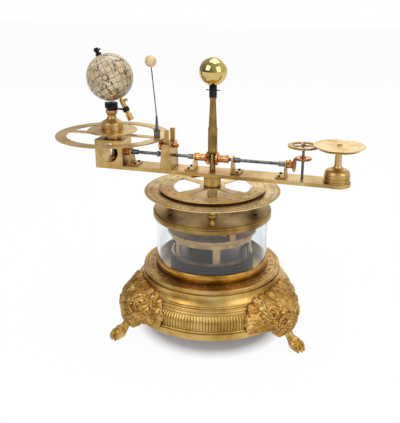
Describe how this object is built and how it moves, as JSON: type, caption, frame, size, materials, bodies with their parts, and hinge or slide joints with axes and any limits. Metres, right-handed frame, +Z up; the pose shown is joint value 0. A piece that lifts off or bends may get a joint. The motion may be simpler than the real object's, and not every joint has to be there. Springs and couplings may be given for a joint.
{
  "type": "planetary clock",
  "caption": "Table clock with a glass-walled drum movement on a footed gilt plinth, and a turning geared beam above it that carries a globe, a moon ring and a small dial.",
  "frame": {"origin": "on the clock's vertical axis, at the level of the paws' soles", "axes": "+Z up, +X along the beam from the clock's axis to the small dial, -Y toward the picture's viewer"},
  "size_m": [0.408, 0.2579, 0.371],
  "materials": {
    "gilt": "gilt brass, satin with bright edges",
    "dial_brass": "grained brass, engraved",
    "wood": "stained wood",
    "dark_screw": "blackened steel",
    "glass": "clear glass",
    "dark_steel": "blued steel",
    "movement_brass": "satin brass",
    "pale_brass": "satin brass, pale",
    "wheel_brass": "cut brass",
    "copper": "polished copper alloy",
    "dark_gear": "blackened steel",
    "black": "blackened brass",
    "mirror_brass": "mirror-polished brass",
    "globe_paper": "varnished printed paper on a hollow ball",
    "ivory": "ivory lacquer"
  },
  "bodies": {
    "base": {"plinth_casting": "gilt", "fluted_gallery": "gilt", "underside_plate": "wood", "foot_right": "gilt", "foot_left": "gilt", "foot_rear": "gilt", "chapter_ring": "dial_brass", "ring_screws": "dark_screw", "lower_bezel": "gilt", "glass_cylinder": "glass", "movement_base": "dark_steel", "movement_cage": "movement_brass", "movement_top_plate": "movement_brass", "drum_cap": "gilt", "dial_pillars": "gilt", "outer_dial_ring": "dial_brass", "sun_column": "gilt", "column_gear": "wheel_brass", "sun_sleeve": "black", "sun_cross_pin": "dark_steel", "sun_ball": "mirror_brass"},
    "beam": {"beam": "pale_brass", "beam_hub": "gilt", "earth_block": "pale_brass", "block_bush": "copper", "earth_pedestal": "pale_brass", "ring_bracket": "pale_brass", "left_outer_bracket": "pale_brass", "left_inner_bracket": "pale_brass", "right_inner_bracket": "pale_brass", "right_outer_bracket": "pale_brass", "bracket_screws": "dark_screw", "right_pedestal": "pale_brass"},
    "left_shaft": {"left_shaft": "dark_steel", "left_inner_bevel": "copper", "left_outer_bevel": "dark_gear"},
    "right_shaft": {"right_shaft": "dark_steel", "right_inner_bevel": "copper", "right_outer_bevel": "copper"},
    "right_arbor": {"right_arbor": "dark_steel", "arbor_bevel": "copper", "idler_wheel": "wheel_brass"},
    "dial": {"dial_gear": "wheel_brass", "dial_disc": "dial_brass"},
    "earth_arbor": {"earth_arbor": "dark_steel", "earth_bevel": "wheel_brass", "axis_arm": "black", "clamp_nut": "black", "axis_tube": "wheel_brass"},
    "globe": {"globe": "globe_paper", "globe_axle": "wheel_brass", "globe_finial": "black"},
    "moon_ring": {"moon_ring": "pale_brass", "moon_stem": "dark_steel", "moon_ball": "ivory"},
    "ring_roller": {"ring_roller": "copper"},
    "hour_wheel": {"hour_wheel": "dial_brass"},
    "mainspring_barrel": {"mainspring_barrel": "movement_brass"},
    "centre_wheel": {"centre_wheel": "movement_brass"},
    "balance_wheel": {"balance_wheel": "movement_brass"}
  },
  "joints": [
    {"name": "orbit", "type": "hinge", "parent": "base", "child": "beam", "pos_m": [0, 0, 0.2], "axis": [0, 0, 1], "continuous": true},
    {"name": "left_shaft_turn", "type": "hinge", "parent": "beam", "child": "left_shaft", "pos_m": [-0.06, 0, 0.2355], "axis": [-1, 0, 0], "continuous": true},
    {"name": "right_shaft_turn", "type": "hinge", "parent": "beam", "child": "right_shaft", "pos_m": [0.06, 0, 0.2355], "axis": [1, 0, 0], "continuous": true},
    {"name": "right_arbor_turn", "type": "hinge", "parent": "beam", "child": "right_arbor", "pos_m": [0.117, 0, 0.24], "axis": [0, 0, 1], "continuous": true},
    {"name": "dial_turn", "type": "hinge", "parent": "beam", "child": "dial", "pos_m": [0.1599, 0, 0.25], "axis": [0, 0, 1], "continuous": true},
    {"name": "earth_arbor_turn", "type": "hinge", "parent": "beam", "child": "earth_arbor", "pos_m": [-0.1404, 0, 0.24], "axis": [0, 0, 1], "continuous": true},
    {"name": "globe_spin", "type": "hinge", "parent": "earth_arbor", "child": "globe", "pos_m": [-0.1404, 0, 0.3336], "axis": [-0.454, 0, 0.891], "continuous": true},
    {"name": "moon_ring_turn", "type": "hinge", "parent": "beam", "child": "moon_ring", "pos_m": [-0.1404, 0, 0.257], "axis": [0, 0, 1], "continuous": true},
    {"name": "ring_roller_turn", "type": "hinge", "parent": "beam", "child": "ring_roller", "pos_m": [-0.07, 0, 0.2488], "axis": [1, 0, 0], "continuous": true},
    {"name": "hour_wheel_turn", "type": "hinge", "parent": "base", "child": "hour_wheel", "pos_m": [0, 0, 0.19], "axis": [0, 0, 1], "continuous": true},
    {"name": "barrel_turn", "type": "hinge", "parent": "base", "child": "mainspring_barrel", "pos_m": [-0.01949, 0.01125, 0.12], "axis": [0, 0, 1], "continuous": true},
    {"name": "centre_wheel_turn", "type": "hinge", "parent": "base", "child": "centre_wheel", "pos_m": [0, 0, 0.12], "axis": [0, 0, 1], "continuous": true},
    {"name": "balance_swing", "type": "hinge", "parent": "base", "child": "balance_wheel", "pos_m": [0.02543, -0.02824, 0.146], "axis": [0, 0, 1], "range_deg": [-135, 135], "stiffness_Nm_per_rad": 0.00002}
  ],
  "couplings": [
    {"joint": "left_shaft_turn", "follows": "orbit", "ratio": 0.66667},
    {"joint": "right_shaft_turn", "follows": "orbit", "ratio": 0.66667},
    {"joint": "right_arbor_turn", "follows": "orbit", "ratio": 0.55556},
    {"joint": "dial_turn", "follows": "orbit", "ratio": -0.42929},
    {"joint": "earth_arbor_turn", "follows": "orbit", "ratio": -1},
    {"joint": "ring_roller_turn", "follows": "moon_ring_turn", "ratio": -8.8354},
    {"joint": "centre_wheel_turn", "follows": "barrel_turn", "ratio": -4}
  ]
}
